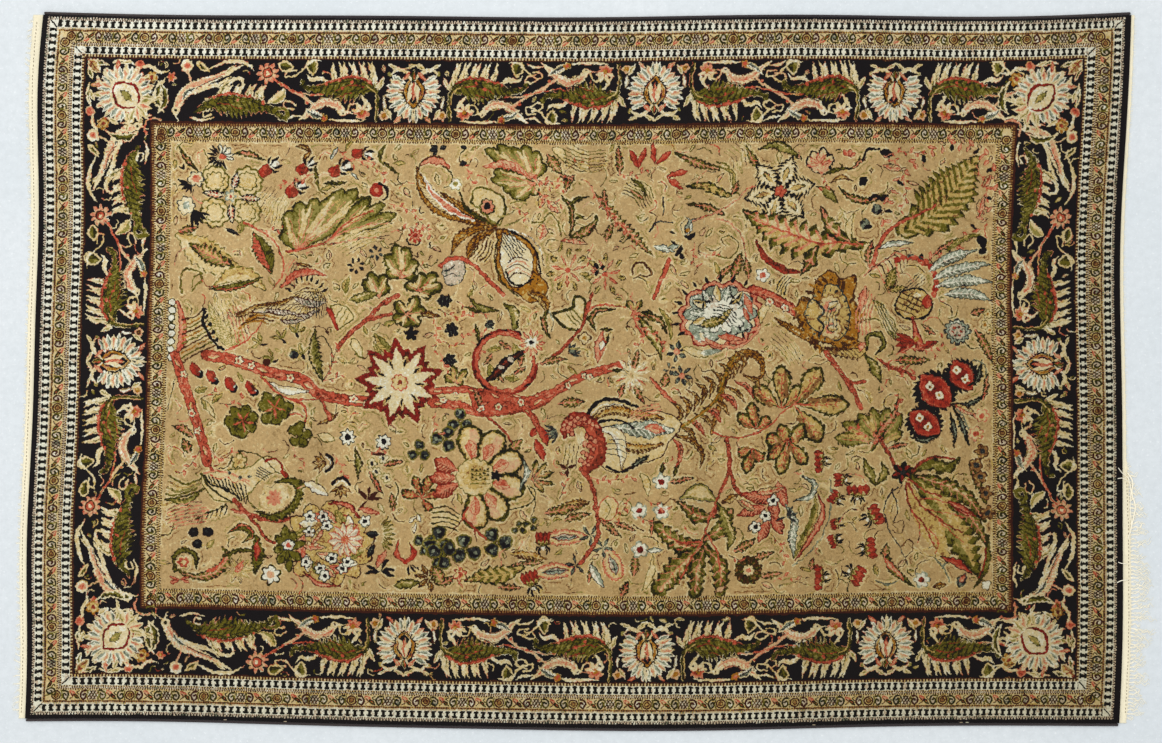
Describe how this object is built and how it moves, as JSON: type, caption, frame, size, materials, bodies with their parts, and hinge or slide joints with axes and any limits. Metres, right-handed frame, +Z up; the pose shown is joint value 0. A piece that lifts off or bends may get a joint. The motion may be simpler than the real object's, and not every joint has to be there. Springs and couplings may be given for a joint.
{
  "type": "persian rug",
  "caption": "Hand-knotted Persian rug lying flat, with overcast long sides and a short cotton fringe at each end.",
  "frame": {"origin": "middle of the rug's footprint, fringes included, at floor level", "axes": "+X along the rug's length, towards the longer fringe; +Y across it; +Z up out of the pile"},
  "size_m": [1.6596, 1.044, 0.005],
  "materials": {
    "pile": "short clipped wool pile, softly worn, in beige gold, navy black, olive, coral and ivory",
    "overcast_wool": "navy black wool yarn wrapped side by side over the side cords",
    "cotton_warp": "undyed cotton, flat woven, with its warp ends left as loose yarn"
  },
  "bodies": {
    "root": {"rug_body": "pile", "selvedge_far": "overcast_wool", "selvedge_near": "overcast_wool", "fringed_end_left": "cotton_warp", "fringed_end_right": "cotton_warp"}
  },
  "joints": []
}
